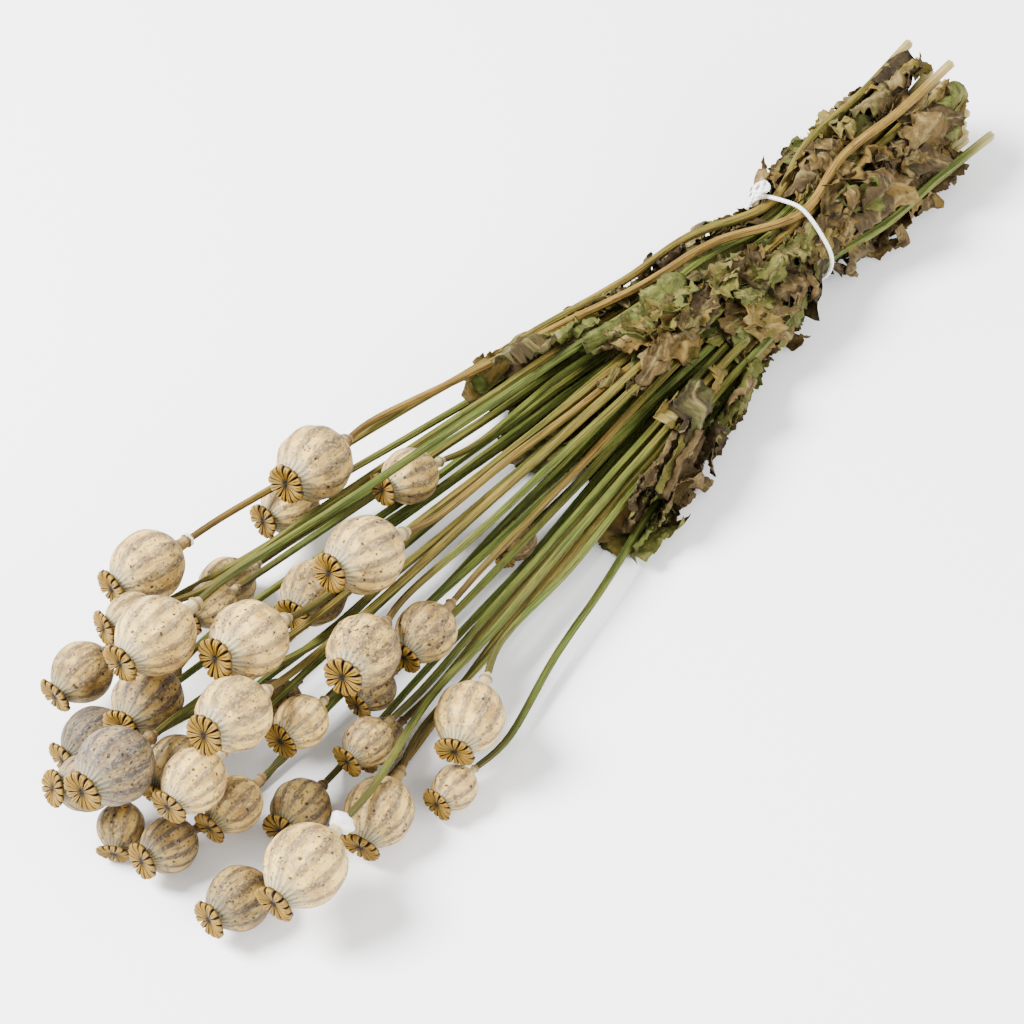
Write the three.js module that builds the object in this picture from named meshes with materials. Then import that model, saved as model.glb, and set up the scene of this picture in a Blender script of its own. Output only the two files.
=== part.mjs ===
// A bunch of dried poppy stalks lying on its side, bound near the cut ends with a loop of white twine.
// Millimetres, +Z up. The seed heads point to -X and the cut ends to +X.
import * as THREE from 'three';

// ---------------------------------------------------------------- driving dimensions

const TIE_X = 247; // where the twine goes round the bunch
const TIE_CENTRE = { y: 3, z: 31 }; // middle of the bunch at the twine
const CUT_X = 392; // mean place of the cut ends
const CUT_SPREAD = 15; // how far a cut end may lie from CUT_X
const STEM_R_HEAD = 1.9; // stem radius just under a seed head
const STEM_R_CUT = 3.0; // stem radius at the cut
const TWINE_R = 1.2; // twine radius
const GAP = 0.5; // least clearance between two pieces
const STATION = 8; // spacing of the clearance tests along X
const BEND_SPAN = 52; // about how far apart a stem's own bends are

// One row per stalk: where its seed head lies (x, y, z of the capsule's middle), the capsule's
// diameter, then how far the head turns sideways and upwards from -X, in degrees.
const STALKS = [
  [-60, 75, 62, 37, -5, 15],
  [-66, 80, 30, 29, 5, 10],
  [-27, 48, 41, 28, 10, 10],
  [-94, 11, 67, 37, 5, 15],
  [-107, 40, 50, 32, -10, 10],
  [-150, 99, 47, 35, 5, 5],
  [-117, 85, 25, 28, 5, 5],
  [-140, 76, 32, 23, 5, 5],
  [-180, 89, 43, 24, 15, 10],
  [-193, 49, 76, 36, 0, 5],
  [-207, 96, 27, 29, 0, 0],
  [-164, 22, 70, 36, 0, 20],
  [-206, 36, 48, 33, -10, 10],
  [-201, -2, 74, 34, -5, 20],
  [-227, 68, 22, 30, 5, 5],
  [-248, 18, 61, 35, -5, 15],
  [-252, 30, 33, 27, 20, 25],
  [-228, -12, 51, 29, -5, 5],
  [-215, -20, 28, 26, 0, 0],
  [-218, 19, 25, 28, -10, -5],
  [-250, 21, 11, 22, -30, -10],
  [-244, -1, 17, 26, 5, 15],
  [-245, -31, 14, 29, 5, 10],
  [-222, -53, 20, 37, -5, 0],
  [-192, -27, 16, 28, -10, 15],
  [-171, -56, 17, 32, -15, -5],
  [-136, -64, 12, 21, 0, 5],
  [-112, -54, 29, 33, -20, 0],
  [-94, -23, 41, 29, -5, 0],
  [-133, -18, 65, 34, -15, 15],
  [-169, -23, 45, 25, -5, 10],
  [-153, -34, 31, 23, 0, 0],
  [-138, -36, 14, 22, 0, 0],
  [-7, -7, 18, 20, 0, 0],
  [-162, 0, 36, 23, -5, 0],
  [-126, -22, 27, 20, 0, 0],
];

// A seed head's outline along its own axis, as [distance from the capsule's middle, radius], both
// in capsule radii: collar, capsule, then shoulder. The flat crown follows it.
const HEAD_OUTLINE = [
  [-1.46, 0.15],
  [-1.4, 0.21],
  [-1.08, 0.19],
  [-0.86, 0.56],
  [-0.32, 1],
  [0.3, 1],
  [0.83, 0.62],
  [1.14, 0.3],
];
const CROWN_AT = [1.22, 1.32]; // its two faces, in capsule radii
const crownRadius = (size) => 6.3 + 0.21 * size; // crowns differ less than capsules do
const HEAD_SIDES = 8;
const HEAD_ROUND = 1.04; // widens an eight-sided head until it is as big as the round one
// The balls that stand for a head in the clearance tests: [place along the axis, radius].
const HEAD_BALLS = [
  [-1.36, 0.3],
  [-0.3, 0.98],
  [0, 1.06],
  [0.3, 0.98],
];
const NECK_AT = -1.46; // where the stem ends, in capsule radii
const LEAD = 26; // the last stretch of stem that runs straight into the head

// Stalks that lie over the leaves instead of among them: the direction each lies in, in degrees
// (0 is +Y, 90 is up), then where it is cut.
const OUTER_STALKS = { 1: [103, 390], 6: [50, 399], 28: [190, 399] };
const OUTER_REACH = { tie: 23.5, cut: 38 };

// Crumpled dry leaves wrapped over the stems, one row each: where it starts and ends along X, the
// direction of its middle, how far round it reaches in degrees, its thickness.
const LEAVES = [
  [58, 160, 350, 28, 9],
  [92, 150, 76, 24, 7],
  [36, 158, 204, 24, 8],
  [84, 160, 232, 28, 8],
  [98, 158, 112, 36, 6],
  [164, 206, 104, 24, 6],
  [70, 160, 318, 34, 8],
  [164, 254, 350, 44, 8],
  [164, 254, 134, 28, 7],
  [164, 254, 163, 26, 8],
  [164, 254, 217, 30, 9],
  [164, 254, 254, 40, 10],
  [164, 254, 301, 48, 9],
  [258, 380, 345, 40, 11],
  [258, 378, 20, 28, 11],
  [258, 386, 74, 20, 11],
  [258, 382, 134, 28, 10],
  [258, 388, 163, 26, 11],
  [258, 378, 217, 30, 11],
  [258, 384, 254, 40, 12],
  [258, 380, 300, 44, 12],
];
const LEAF_AT_TIE = 2.2; // thickness where the twine squeezes them
const LEAF_ROOM = 9; // how far the leaves hold the stems off the ground

// How the bunch settles: pieces are drawn home while they swell, and at the end only make way.
const SETTLE_STEPS = 1500;
const HEADS_CENTRE = { y: 12, z: 40 };
const TIE_SQUEEZE = { y: 0.27, z: 0.5 };
const TIE_PULL = 0.35;
const CUT_PULL = 0.05;
const HEAD_PULL = 0.05;
const SPRING = 0.1;
const BEND_WAVE = 6; // how far a stem wanders sideways along its way

// ---------------------------------------------------------------- small helpers

const radians = THREE.MathUtils.degToRad;
const mix = THREE.MathUtils.lerp;

// A repeatable scatter between -1 and 1 for piece number n.
function scatter(n, seed) {
  const s = Math.sin(n * 12.9898 + seed * 78.233) * 43758.5453;
  return 2 * (s - Math.floor(s)) - 1;
}

function headAxis(turn, lift) {
  const [t, l] = [radians(turn), radians(lift)];
  return new THREE.Vector3(-Math.cos(t) * Math.cos(l), Math.sin(t) * Math.cos(l), Math.sin(l));
}

// ---------------------------------------------------------------- what has to settle

// A strand is a smooth line through knots, with balls strung along it that must keep clear of every
// other strand's balls. A knot keeps its x and finds its own y and z, unless it `hangs` rigidly from
// another knot of the strand, as a neck does from its seed head.
function knot(x, y, z, options = {}) {
  return { x, y, z, home: null, pull: 0, hangs: null, ...options };
}

// A stem is straight between its knots, so a point on it depends on the two nearest.
function weightsAt(xs, x) {
  let k = 0;
  while (k < xs.length - 2 && (x - xs[k + 1]) * (xs.at(-1) - xs[0]) > 0) k++;
  const t = (x - xs[k]) / (xs[k + 1] - xs[k]);
  return [
    [k, 1 - t],
    [k + 1, t],
  ];
}

// A ball on the curve, its place written as shares of the knots that are free to move.
function curveBall(knots, x, r) {
  const shares = new Map();
  const offset = [0, 0];
  const xs = knots.map((k) => k.x);
  for (const [index, w] of weightsAt(xs, x)) {
    const hangs = knots[index].hangs;
    const free = hangs ? hangs.from : knots[index];
    shares.set(free, (shares.get(free) ?? 0) + w);
    if (!hangs) continue;
    offset[0] += w * hangs.offset[0];
    offset[1] += w * hangs.offset[1];
  }
  return { x, r, shares: [...shares], offset };
}

function curveBalls(knots, radiusAt) {
  const xs = knots.map((k) => k.x);
  const balls = [];
  for (let i = Math.ceil(Math.min(...xs) / STATION); i * STATION <= Math.max(...xs); i++) {
    balls.push(curveBall(knots, i * STATION, radiusAt(i * STATION)));
  }
  return balls;
}

function stalkStrand([x, y, z, diameter, turn, lift], index) {
  const size = diameter / 2;
  const axis = headAxis(turn, lift);
  const head = knot(x, y, z, { home: { y, z }, pull: HEAD_PULL });
  const behind = (distance) => {
    const [dy, dz] = [-axis.y * distance, -axis.z * distance];
    return knot(x - axis.x * distance, y + dy, z + dz, { hangs: { from: head, offset: [dy, dz] } });
  };
  const neck = behind(-NECK_AT * size);
  const lead = behind(-NECK_AT * size + LEAD);
  const tie = {
    y: TIE_CENTRE.y + TIE_SQUEEZE.y * (y - HEADS_CENTRE.y),
    z: TIE_CENTRE.z + TIE_SQUEEZE.z * (z - HEADS_CENTRE.z),
  };
  const spread = (share, scale, seed) => ({
    y: mix(TIE_CENTRE.y, tie.y, share) + scale * scatter(index, seed),
    z: mix(TIE_CENTRE.z, tie.z, share) + 0.6 * scale * scatter(index, seed + 1),
  });
  const over = OUTER_STALKS[index + 1];
  const outward = (reach) => ({
    y: TIE_CENTRE.y + reach * Math.cos(radians(over[0])),
    z: TIE_CENTRE.z + reach * Math.sin(radians(over[0])),
  });
  if (over !== undefined) Object.assign(tie, outward(OUTER_REACH.tie));
  const cut = over === undefined ? spread(1.3, 5, 4) : outward(OUTER_REACH.cut);
  const bends = Math.max(1, Math.round((TIE_X - lead.x) / BEND_SPAN) - 1);
  const between = Array.from({ length: bends }, (_, k) => {
    const t = (k + 1) / (bends + 1);
    const wave = BEND_WAVE * Math.sin(Math.PI * t);
    return knot(
      mix(TIE_X, lead.x, t),
      mix(tie.y, lead.y, t) + wave * scatter(index, 6 + k),
      mix(tie.z, lead.z, t),
    );
  });
  const cutX = over === undefined ? CUT_X + CUT_SPREAD * scatter(index, 1) : over[1];
  const tail = [1 / 3, 2 / 3].map((t) => {
    return knot(mix(cutX, TIE_X, t), mix(cut.y, tie.y, t), mix(cut.z, tie.z, t));
  });
  const knots = [
    knot(cutX, cut.y, cut.z, { home: cut, pull: CUT_PULL }),
    ...tail,
    knot(TIE_X, tie.y, tie.z, { home: over === undefined ? TIE_CENTRE : tie, pull: TIE_PULL }),
    ...between,
    lead,
    neck,
  ];
  const stemRadius = (at) => {
    return mix(STEM_R_HEAD, STEM_R_CUT, THREE.MathUtils.clamp((at - x) / (CUT_X - x), 0, 1));
  };
  const balls = curveBalls(knots, stemRadius);
  for (const [along, r] of [...HEAD_BALLS, [1.2, (1.1 * crownRadius(size)) / size]]) {
    const offset = [axis.y * along * size, axis.z * along * size];
    balls.push({ x: x + axis.x * along * size, r: r * size, shares: [[head, 1]], offset });
  }
  const name = `poppy_${String(index + 1).padStart(2, '0')}`;
  return { name, over, knots, free: [...knots.filter((k) => !k.hangs), head], balls, size, axis };
}

// ---------------------------------------------------------------- settling

const floorAt = (x) => LEAF_ROOM * THREE.MathUtils.smoothstep(x, 30, 140);

function place(ball) {
  let [y, z] = ball.offset;
  for (const [k, w] of ball.shares) {
    y += w * k.y;
    z += w * k.z;
  }
  return { y, z };
}

function push(ball, dy, dz) {
  for (const [k, w] of ball.shares) {
    k.y += (w * dy) / ball.stiffness;
    k.z += (w * dz) / ball.stiffness;
  }
}

function whereIs({ hangs, y, z }) {
  return hangs ? { y: hangs.from.y + hangs.offset[0], z: hangs.from.z + hangs.offset[1] } : { y, z };
}

// Stems are springy: a knot between two others is drawn towards the straight line.
function straighten(s) {
  const last = s.knots.length - 1;
  for (let i = 1; i < last; i++) {
    const b = s.knots[i];
    if (b.hangs || b.home) continue;
    for (const reach of [1, 2]) {
      const [a, c] = [s.knots[Math.max(i - reach, 0)], s.knots[Math.min(i + reach, last)]];
      const [p, q] = [whereIs(a), whereIs(c)];
      const t = (b.x - a.x) / (c.x - a.x);
      b.y += SPRING * (mix(p.y, q.y, t) - b.y);
      b.z += SPRING * (mix(p.z, q.z, t) - b.z);
    }
  }
}

// Pairs of balls of different strands that are close enough to meet within the next few steps.
function nearPairs(balls) {
  const at = balls.map(place);
  const widest = Math.max(...balls.map((b) => b.r));
  const pairs = [];
  for (let i = 0; i < balls.length; i++) {
    for (let j = i + 1; j < balls.length; j++) {
      const dx = balls[j].x - balls[i].x;
      if (dx > balls[i].r + widest + GAP) break;
      const need = balls[i].r + balls[j].r;
      if (balls[i].strand === balls[j].strand || dx >= need + GAP) continue;
      if (Math.hypot(dx, at[j].y - at[i].y, at[j].z - at[i].z) > need + 6) continue;
      pairs.push([balls[i], balls[j], dx]);
    }
  }
  return pairs;
}

function separate([a, b, dx], grown) {
  const need = grown * (a.r + b.r) + GAP;
  if (dx >= need) return;
  const [p, q] = [place(a), place(b)];
  const [dy, dz] = [q.y - p.y, q.z - p.z];
  const apart = Math.hypot(dy, dz);
  const wanted = Math.sqrt(need * need - dx * dx);
  if (apart >= wanted) return;
  const share = (0.6 * (wanted - apart)) / Math.max(apart, 0.05);
  const give = b.r / (a.r + b.r); // the slimmer piece gives way more
  push(a, -dy * share * give, -dz * share * give);
  push(b, dy * share * (1 - give), dz * share * (1 - give));
}

function settle(strands) {
  const balls = strands.flatMap((strand) => {
    return strand.balls.map((ball) => {
      const stiffness = ball.shares.reduce((sum, [, w]) => sum + w * w, 0);
      return Object.assign(ball, { strand, stiffness });
    });
  });
  balls.sort((p, q) => p.x - q.x);
  let pairs = [];
  for (let step = 0; step < SETTLE_STEPS; step++) {
    const time = step / SETTLE_STEPS;
    const grown = Math.min(1, 0.25 + 1.5 * time); // pieces swell to full size, then only give way
    const eager = THREE.MathUtils.clamp(3 - 4 * time, 0, 1);
    for (const s of strands) {
      if (eager > 0) straighten(s);
      for (const k of s.free) {
        if (!k.home) continue;
        k.y += eager * k.pull * (k.home.y - k.y);
        k.z += eager * k.pull * (k.home.z - k.z);
      }
    }
    if (step % 8 === 0) pairs = nearPairs(balls);
    pairs.forEach((pair) => separate(pair, grown));
    for (const ball of balls) {
      const low = ball.r + floorAt(ball.x) - place(ball).z;
      if (low > 0) push(ball, 0, low);
    }
  }
  strands.forEach((s) => s.knots.forEach((k) => Object.assign(k, whereIs(k))));
  balls.forEach((ball) => Object.assign(ball, place(ball)));
}

// ---------------------------------------------------------------- solids

const pointOf = (k) => new THREE.Vector3(k.x, k.y, k.z);

// Bends a lathe whose own axis is +Y until ring number i stands at rings[i], squarely to the path.
function bend(geometry, rings) {
  const position = geometry.getAttribute('position');
  const v = new THREE.Vector3();
  for (let i = 0; i < position.count; i++) {
    v.fromBufferAttribute(position, i);
    const { point, direction } = rings[Math.round(v.y)];
    const side = new THREE.Vector3(0, 0, 1).cross(direction).normalize();
    const up = side.clone().cross(direction);
    v.copy(point.clone().addScaledVector(side, v.x).addScaledVector(up, v.z));
    position.setXYZ(i, v.x, v.y, v.z);
  }
  return geometry;
}

// A closed solid of revolution along a path of { point, radius }, bent at every one of them.
function bentLathe(path, sides) {
  const outline = path.map(({ radius }, i) => new THREE.Vector2(radius, i));
  outline.unshift(new THREE.Vector2(0, 0));
  outline.push(new THREE.Vector2(0, path.length - 1));
  const rings = path.map(({ point }, i) => {
    const before = path[Math.max(i - 1, 0)].point;
    const after = path[Math.min(i + 1, path.length - 1)].point;
    const [into, from] = [point.clone().sub(before).normalize(), after.clone().sub(point).normalize()];
    return { point, direction: into.add(from).normalize() };
  });
  return bend(new THREE.LatheGeometry(outline, sides, Math.PI / sides), rings);
}

function stalkGeometry(s) {
  const stem = s.knots.slice(0, -1).map((k) => {
    const t = (k.x - s.knots[0].x) / (s.knots.at(-1).x - s.knots[0].x);
    return { point: pointOf(k), radius: mix(STEM_R_CUT, STEM_R_HEAD, t) };
  });
  const neck = pointOf(s.knots.at(-1));
  const head = HEAD_OUTLINE.map(([along, r], i) => {
    const point = neck.clone().addScaledVector(s.axis, (along - NECK_AT) * s.size);
    return { point, radius: i === 0 ? STEM_R_HEAD : r * s.size * HEAD_ROUND };
  });
  const crown = CROWN_AT.map((along) => {
    const point = neck.clone().addScaledVector(s.axis, (along - NECK_AT) * s.size);
    return { point, radius: crownRadius(s.size) };
  });
  return bentLathe([...stem, ...head, ...crown], HEAD_SIDES);
}

// How far the stems near x reach in a direction of the YZ plane.
function reachOf(strands, x, angle, span) {
  const [cy, cz] = [Math.cos(angle), Math.sin(angle)];
  let reach = -Infinity;
  for (const { balls } of strands) {
    for (const ball of balls) {
      if (Math.abs(ball.x - x) > span) continue;
      reach = Math.max(reach, (ball.y - TIE_CENTRE.y) * cy + (ball.z - TIE_CENTRE.z) * cz + ball.r);
    }
  }
  return reach;
}

// Distance from the bunch's middle to a band stretched round its stems, in each of `steps` directions.
function bandAt(strands, x, span, steps) {
  const turn = (2 * Math.PI) / steps;
  const reach = Array.from({ length: steps }, (_, i) => reachOf(strands, x, turn * i, span));
  return (angle) => {
    return reach.reduce((nearest, h, i) => {
      const along = Math.cos(angle - (2 * Math.PI * i) / steps);
      return along > 0.1 ? Math.min(nearest, h / along) : nearest;
    }, Infinity);
  };
}

// A box is bent over the stems: its length runs along X, its width round them, its depth outwards.
function leafGeometry(strands, [from, to, direction, width, thickness], number) {
  const [along, round] = [Math.round((to - from) / 15), Math.round(width / 7)];
  const box = new THREE.BoxGeometry(1, 1, 1, along, round, 1);
  const position = box.getAttribute('position');
  const bands = Array.from({ length: along + 1 }, (_, i) => {
    return bandAt(strands, mix(from, to, i / along), 16, 60);
  });
  const nearby = [-0.6, 0, 0.6].map((step) => radians((step * width) / round));
  for (let i = 0; i < position.count; i++) {
    const [u, v] = [position.getX(i) + 0.5, position.getY(i) + 0.5];
    const x = mix(from, to, u);
    const angle = radians(direction + (0.5 - v) * width);
    const band = Math.max(...nearby.map((step) => bands[Math.round(u * along)](angle + step))) + GAP;
    const free = THREE.MathUtils.clamp((Math.abs(x - TIE_X) - 8) / 18, 0, 1);
    const hump = Math.min(1, 0.35 + 4 * Math.min(u, 1 - u)) * Math.min(1, 0.4 + 3 * Math.min(v, 1 - v));
    const lump = 1 + 0.25 * scatter(Math.round(u * along) * 7 + Math.round(v * round), number);
    const depth = mix(LEAF_AT_TIE, thickness * hump * lump, free);
    const distance = band + (position.getZ(i) > 0 ? depth : 0);
    const z = TIE_CENTRE.z + distance * Math.sin(angle);
    position.setXYZ(i, x, TIE_CENTRE.y + distance * Math.cos(angle), Math.max(z, 0));
  }
  return box;
}

// Where pulled twine lies: a band over everything at the tie, each given as { y, z, r }.
function twineRing(rounds, steps) {
  const clear = GAP + TWINE_R;
  return Array.from({ length: steps }, (_, i) => {
    const angle = (2 * Math.PI * i) / steps;
    const [cy, cz] = [Math.cos(angle), Math.sin(angle)];
    const reach = ({ y, z, r }) => y * cy + z * cz + r;
    const outer = rounds.reduce((best, round) => (reach(round) > reach(best) ? round : best));
    return { y: outer.y + (outer.r + clear) * cy, z: outer.z + (outer.r + clear) * cz };
  });
}

function cornersNearTie(geometry) {
  const position = geometry.getAttribute('position');
  const corner = (_, i) => new THREE.Vector3().fromBufferAttribute(position, i);
  return Array.from({ length: position.count }, corner)
    .filter(({ x }) => Math.abs(x - TIE_X) < 12)
    .map(({ y, z }) => ({ y, z, r: 0 }));
}

function loopGeometry(ring, sides) {
  const torus = new THREE.TorusGeometry(1, 0.1, sides, ring.length);
  const position = torus.getAttribute('position');
  for (let i = 0; i < position.count; i++) {
    const around = i % (ring.length + 1) % ring.length;
    const turn = (2 * Math.PI * Math.floor(i / (ring.length + 1))) / sides;
    const [before, here, after] = [-1, 0, 1].map((d) => ring[(around + d + ring.length) % ring.length]);
    const out = new THREE.Vector2(after.z - before.z, before.y - after.y).normalize();
    const [across, along] = [TWINE_R * Math.cos(turn), TWINE_R * Math.sin(turn)];
    position.setXYZ(i, TIE_X + along, here.y + out.x * across, here.z + out.y * across);
  }
  return torus;
}

function knotGeometry(ring) {
  const at = ring[Math.round(ring.length * 0.175)];
  const out = new THREE.Vector2(at.y - TIE_CENTRE.y, at.z - TIE_CENTRE.z).normalize();
  const size = new THREE.Vector3(8, 4.5, 3);
  const lift = TWINE_R + 0.35 + size.z;
  const ball = new THREE.SphereGeometry(1, 10, 6);
  ball.scale(size.x, size.y, size.z);
  ball.rotateX(Math.atan2(out.y, out.x) - Math.PI / 2);
  ball.translate(TIE_X, at.y + out.x * lift, at.z + out.y * lift);
  return ball;
}

// ---------------------------------------------------------------- the bunch

const finish = (color, roughness) => new THREE.MeshStandardMaterial({ color, roughness, metalness: 0 });
const stalkFinish = finish('#c8b593', 0.75);
const leafFinish = finish('#7d6a4a', 0.9);
const twineFinish = finish('#f2efe8', 0.8);

function meshOf(name, geometry, material) {
  const mesh = new THREE.Mesh(geometry, material);
  mesh.name = name;
  return mesh;
}

const stalks = STALKS.map(stalkStrand);
settle(stalks);
const inner = stalks.filter((s) => s.over === undefined);
const leaves = LEAVES.map((leaf, i) => leafGeometry(inner, leaf, i + 1));
const stemsAtTie = stalks.flatMap((s) => s.balls.filter((ball) => Math.abs(ball.x - TIE_X) < 12));
const ring = twineRing([...stemsAtTie, ...leaves.flatMap(cornersNearTie)], 36);

const bunch = new THREE.Group();
stalks.forEach((s) => bunch.add(meshOf(s.name, stalkGeometry(s), stalkFinish)));
leaves.forEach((leaf, i) => bunch.add(meshOf(`leaf_${String(i + 1).padStart(2, '0')}`, leaf, leafFinish)));
bunch.add(meshOf('twine_loop', loopGeometry(ring, 6), twineFinish));
bunch.add(meshOf('twine_knot', knotGeometry(ring), twineFinish));

// The origin is at the middle of the ground that the bunch covers.
const box = new THREE.Box3().setFromObject(bunch, true);
const middle = box.getCenter(new THREE.Vector3());
bunch.position.set(-middle.x, -middle.y, -box.min.z);

export default bunch;
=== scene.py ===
"""A tied bunch of dried poppy seed heads, lying on its side. Metres; the cut ends point to +X."""

import itertools
import math
from collections import namedtuple

import bpy
import numpy as np
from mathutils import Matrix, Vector
from mathutils.bvhtree import BVHTree


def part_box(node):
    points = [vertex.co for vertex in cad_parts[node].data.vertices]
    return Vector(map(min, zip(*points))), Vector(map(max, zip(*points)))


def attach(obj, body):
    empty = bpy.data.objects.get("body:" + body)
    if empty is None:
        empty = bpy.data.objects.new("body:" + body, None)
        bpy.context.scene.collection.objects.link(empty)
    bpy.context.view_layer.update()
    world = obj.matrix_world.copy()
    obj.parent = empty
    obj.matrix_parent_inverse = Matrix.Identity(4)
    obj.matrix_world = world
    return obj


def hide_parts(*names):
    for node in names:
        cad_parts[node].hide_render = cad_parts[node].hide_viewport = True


bl_info = {
    "name": "Dried Poppy Bunch",
    "version": (1, 0, 0),
    "blender": (4, 5, 0),
    "location": "View3D > Sidebar > Poppies",
    "description": "Builds a tied bunch of dried poppy seed heads on its solid frame",
    "category": "Add Mesh",
}

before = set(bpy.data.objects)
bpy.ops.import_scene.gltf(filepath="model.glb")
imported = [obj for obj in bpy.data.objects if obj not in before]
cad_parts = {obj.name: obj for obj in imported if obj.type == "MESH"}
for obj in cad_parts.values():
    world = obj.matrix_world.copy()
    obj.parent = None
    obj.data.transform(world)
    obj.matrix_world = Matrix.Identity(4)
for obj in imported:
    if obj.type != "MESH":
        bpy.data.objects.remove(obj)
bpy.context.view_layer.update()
BODY = "root"
TAU = 2 * math.pi


# ---------------- numbers and colours


def tint(red, green, blue):
    """A colour given in screen values from 0 to 255, as linear light."""
    return tuple((c / 255) ** 2.2 for c in (red, green, blue))


def smooth(low, high, x):
    t = np.clip((x - low) / (high - low), 0, 1)
    return t * t * (3 - 2 * t)


def unit(v):
    return v / np.linalg.norm(v)


# How a seed head may have dried, as (brightness, lilac, spots), each from 0 to 1.
DRIED = {
    "bright": (1.0, 0.35, 0.35),
    "cream": (0.88, 0.45, 0.5),
    "speckled": (0.84, 0.4, 0.95),
    "lilac": (0.62, 0.95, 0.5),
    "slate": (0.36, 1.0, 0.35),
    "mauve": (0.55, 0.8, 0.6),
    # Also used as painted shade: heads 35 and 36 are given this dark tone to darken them.
    "brown": (0.42, 0.6, 0.8),
    "pale": (0.86, 0.5, 0.3),
    "tan": (0.7, 0.45, 0.7),
}
# How each head has dried, in the order of the poppies; heads 35 and 36 are given the dark brown tone as
# painted shade.
HEADS = (
    "cream cream pale pale tan cream pale pale pale bright tan bright "
    "mauve bright slate lilac mauve bright cream brown tan mauve brown bright "
    "brown cream pale bright tan speckled bright tan brown brown brown brown"
).split()
# How green each stem has stayed, in the same order, from 0, ochre, to 1, green.
GREEN = [
    0.05, 0.5, 0.55, 0.15, 0.6, 0.3, 0.7, 0.5, 0.4, 0.75, 0.5, 0.35, 0.6, 0.3, 0.65, 0.45, 0.7, 0.55,
    0.8, 0.35, 0.6, 0.5, 0.3, 0.5, 0.7, 0.4, 0.75, 0.6, 0.25, 0.45, 0.9, 0.55, 0.35, 0.8, 0.6, 0.5,
]


# ---------------- node trees as expressions


class Value:
    """A socket that Python arithmetic works on: each operation adds a Math node."""

    def __init__(self, graph, socket):
        self.graph = graph
        self.socket = socket

    def also(self, output):
        """Another output of the same node."""
        return Value(self.graph, self.socket.node.outputs[output])

    def maths(self, operation, *terms):
        values = dict(enumerate([self, *terms]))
        return self.graph.add("ShaderNodeMath", {"operation": operation}, values)

    def __add__(self, other):
        return self.maths("ADD", other)

    def __sub__(self, other):
        return self.maths("SUBTRACT", other)

    def __mul__(self, other):
        return self.maths("MULTIPLY", other)

    def __rsub__(self, other):
        return self.graph.add("ShaderNodeMath", {"operation": "SUBTRACT"}, {0: other, 1: self})

    __radd__ = __add__
    __rmul__ = __mul__


class Graph:
    """A node tree that is written as expressions."""

    def __init__(self, tree):
        self.tree = tree

    def add(self, kind, settings=None, values=None, out=0):
        """Adds any node: its settings first, then what its sockets hold or are linked to."""
        node = self.tree.nodes.new(kind)
        for name, setting in (settings or {}).items():
            setattr(node, name, setting)
        for key, value in (values or {}).items():
            socket = node.inputs[key]
            if isinstance(value, Value):
                self.tree.links.new(value.socket, socket)
            elif socket.type == "RGBA":
                socket.default_value = (*value[:3], 1.0)
            else:
                socket.default_value = value
        return Value(self, node.outputs[out]) if len(node.outputs) else node

    def between(self, value, low, high):
        """Runs smoothly from 0 to 1 as value goes from low to high."""
        settings = {"interpolation_type": "SMOOTHSTEP"}
        return self.add("ShaderNodeMapRange", settings, {0: value, 1: low, 2: high})

    def mix(self, share, one, other, blend="MIX"):
        settings = {"data_type": "RGBA", "blend_type": blend}
        return self.add("ShaderNodeMix", settings, {0: share, 6: one, 7: other}, out=2)

    def layers(self, colour, *layers):
        """Lays paints over a colour in turn, each as (paint, value, where it starts, full, amount)."""
        for paint, value, low, high, amount in layers:
            colour = self.mix(self.between(value, low, high) * amount, colour, paint)
        return colour

    def vector(self, operation, one, other=(0, 0, 0)):
        return self.add("ShaderNodeVectorMath", {"operation": operation}, {0: one, 1: other})

    def scaled(self, vector, amount):
        settings = {"operation": "SCALE"}
        return self.add("ShaderNodeVectorMath", settings, {0: vector, "Scale": amount})

    def split(self, vector):
        x = self.add("ShaderNodeSeparateXYZ", None, {0: vector})
        return x, x.also(1), x.also(2)


class Finish(Graph):
    """A material, with the painted values that every piece of the bunch carries."""

    def __init__(self, name):
        self.material = bpy.data.materials.new(name)
        self.material.use_nodes = True
        super().__init__(self.material.node_tree)
        self.shader = self.tree.nodes["Principled BSDF"]
        self.skin = self.painted("skin")
        self.marks = self.split(self.painted("marks"))
        self.kind = self.split(self.painted("kind"))

    def painted(self, name):
        settings = {"attribute_type": "GEOMETRY", "attribute_name": name}
        return self.add("ShaderNodeAttribute", settings, out="Vector")

    def noise(self, scale, detail=3.0, stretch=(1, 1, 1), roughness=0.55, where=None):
        place = self.vector("MULTIPLY", where or self.skin, stretch)
        values = {"Vector": place, "Scale": scale, "Detail": detail, "Roughness": roughness}
        return self.add("ShaderNodeTexNoise", None, values)

    def warped(self, scale, reach):
        """The place on the skin, pushed about by up to `reach` so that marks lose their roundness."""
        values = {"Vector": self.skin, "Scale": scale, "Detail": 2.0}
        push = self.add("ShaderNodeTexNoise", None, values, out="Color")
        push = self.vector("SUBTRACT", push, (0.5, 0.5, 0.5))
        return self.vector("ADD", self.skin, self.vector("MULTIPLY", push, (reach, reach, reach)))

    def cells(self, scale, stretch=(1, 1, 1), where=None):
        place = self.vector("MULTIPLY", where or self.skin, stretch)
        return self.add("ShaderNodeTexVoronoi", None, {"Vector": place, "Scale": scale})

    def done(self, colour, roughness, height, distance, strength, constants):
        """Joins what varies to the shader, and sets what doesn't on its own sockets."""
        values = {"Height": height, "Distance": distance, "Strength": strength}
        varying = {"Base Color": colour, "Normal": self.add("ShaderNodeBump", None, values)}
        if isinstance(roughness, Value):
            varying["Roughness"] = roughness
        else:
            constants = {**constants, "Roughness": roughness}
        for name, value in varying.items():
            self.tree.links.new(value.socket, self.shader.inputs[name])
        for name, value in constants.items():
            self.shader.inputs[name].default_value = value
        return self.material


# ---------------- finishes


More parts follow.
